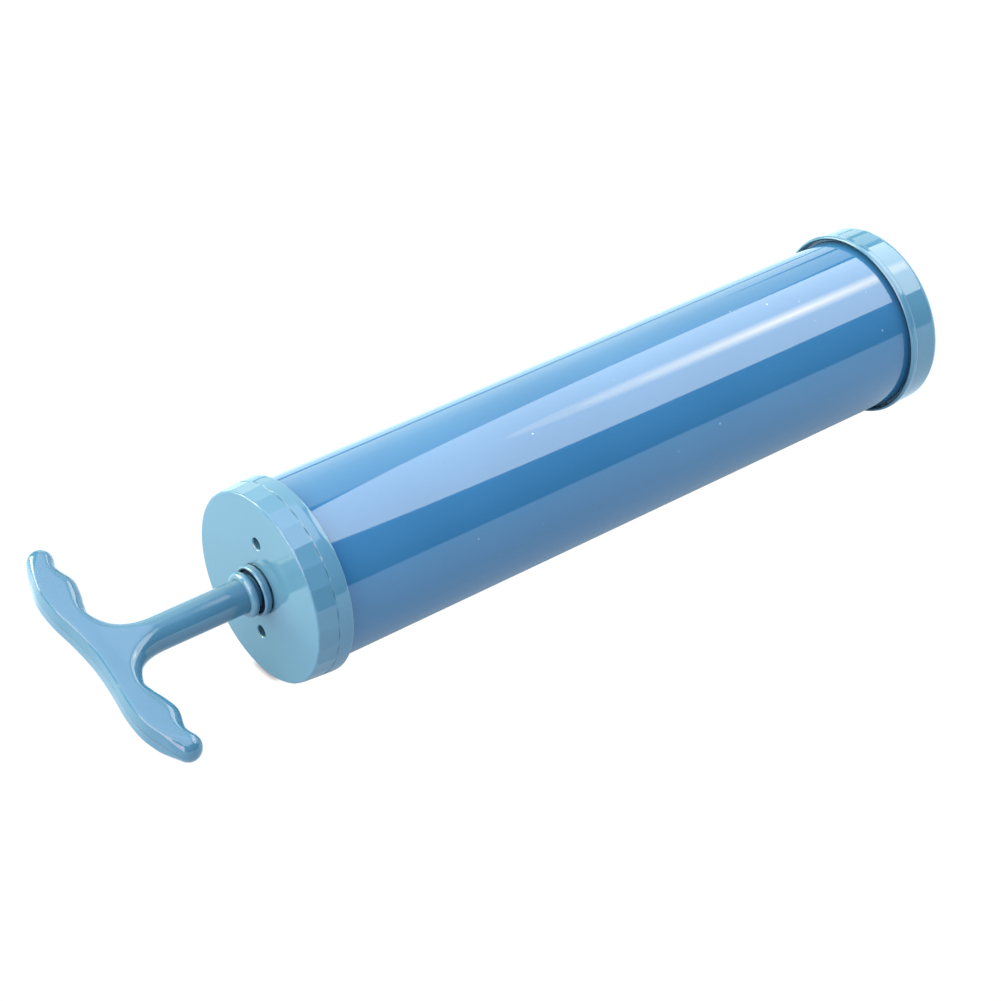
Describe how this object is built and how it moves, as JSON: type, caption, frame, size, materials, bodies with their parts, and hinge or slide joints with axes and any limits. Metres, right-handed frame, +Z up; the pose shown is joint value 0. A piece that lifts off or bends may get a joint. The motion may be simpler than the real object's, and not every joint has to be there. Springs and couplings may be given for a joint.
{
  "type": "ball inflation pump",
  "caption": "Hand pump lying on its end caps: T-handle plunger in a plain round barrel, two end caps, valved outlet nozzle.",
  "frame": {"origin": "middle of the bounding box on the surface that the two cap rims rest on", "axes": "+X along the barrel axis from the handle to the outlet nozzle, +Z up, +Y to the handle's raised arm"},
  "size_m": [0.323, 0.0844, 0.062],
  "materials": {
    "barrel_blue": "glossy blue ABS, polished mould",
    "cap_teal": "glossy pale teal ABS",
    "handle_blue": "glossy mid-blue ABS",
    "black_rubber": "matt nitrile rubber",
    "grey_rubber": "soft grey rubber",
    "acetal": "natural acetal",
    "piston_plastic": "dark moulded nylon",
    "steel": "zinc-plated steel",
    "spring_steel": "bright spring wire"
  },
  "bodies": {
    "barrel": {"barrel_tube": "barrel_blue", "top_cap": "cap_teal", "rod_guide_bush": "cap_teal", "rod_wiper": "black_rubber", "bush_retaining_ring": "spring_steel", "end_bumper": "grey_rubber", "base_cap": "cap_teal", "base_gasket": "black_rubber", "nozzle_gasket": "black_rubber", "outlet_nozzle": "cap_teal", "valve_spring": "spring_steel"},
    "piston": {"piston_rear_plate": "piston_plastic", "piston_guide_ring": "acetal", "piston_cup_seal": "black_rubber", "piston_front_plate": "piston_plastic", "piston_swivel_bush": "acetal", "piston_plate_screws": "steel"},
    "plunger": {"handle_rod": "handle_blue", "rod_stop_ring": "cap_teal", "piston_washer": "steel", "rod_screw": "steel"},
    "outlet_valve": {"valve_poppet": "acetal", "valve_pad": "black_rubber"}
  },
  "joints": [
    {"name": "piston_stroke", "type": "slide", "parent": "barrel", "child": "piston", "axis": [-1, 0, 0], "range_m": [0, 0.2063]},
    {"name": "handle_turn", "type": "hinge", "parent": "piston", "child": "plunger", "pos_m": [-0.10345, 0, 0.031], "axis": [1, 0, 0], "continuous": true},
    {"name": "outlet_valve_lift", "type": "slide", "parent": "barrel", "child": "outlet_valve", "axis": [1, 0, 0], "range_m": [0, 0.0025], "stiffness_N_per_m": 150, "springref_m": -0.001, "deforming": ["valve_spring"]}
  ]
}
